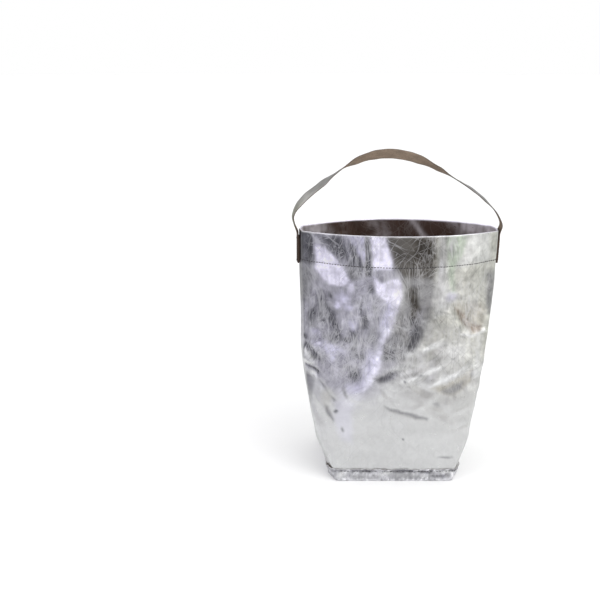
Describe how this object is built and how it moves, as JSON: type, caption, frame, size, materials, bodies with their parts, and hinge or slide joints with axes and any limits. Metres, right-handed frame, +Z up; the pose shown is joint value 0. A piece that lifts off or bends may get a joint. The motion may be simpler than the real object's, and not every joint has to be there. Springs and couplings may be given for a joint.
{
  "type": "wine gift bag",
  "caption": "Open-topped wine gift bag of metallic washable paper, with a turned hem, a stitched base and a swinging strap handle.",
  "frame": {"origin": "centre of the base sheet's underside, on the surface the bag stands on", "axes": "+Z up through the mouth, +X along the wide side of the bag from its left seam to its right seam, and the front faces -Y"},
  "size_m": [0.1893, 0.0908, 0.3027],
  "materials": {
    "silver_paper": "crumpled metallic silver film on washable kraft paper, satin",
    "base_paper": "creased metallic silver film on washable kraft paper",
    "strap_paper": "strip with a satin silver outer face and a brown kraft inner face",
    "thread": "matte dark polyester sewing thread"
  },
  "bodies": {
    "bag": {"front_panel": "silver_paper", "back_panel": "silver_paper", "base_panel": "base_paper", "strap_tail_left": "strap_paper", "strap_tail_right": "strap_paper", "hem_stitching_front": "thread", "hem_stitching_back": "thread", "side_seam_stitching_left": "thread", "side_seam_stitching_right": "thread", "base_seam_stitching": "thread", "tail_stitching_left": "thread", "tail_stitching_right": "thread"},
    "handle": {"handle_strap": "strap_paper"}
  },
  "joints": [
    {"name": "handle_swing", "type": "hinge", "parent": "bag", "child": "handle", "pos_m": [0, 0, 0.2315], "axis": [1, 0, 0], "range_deg": [-75, 75], "stiffness_Nm_per_rad": 0.006}
  ]
}
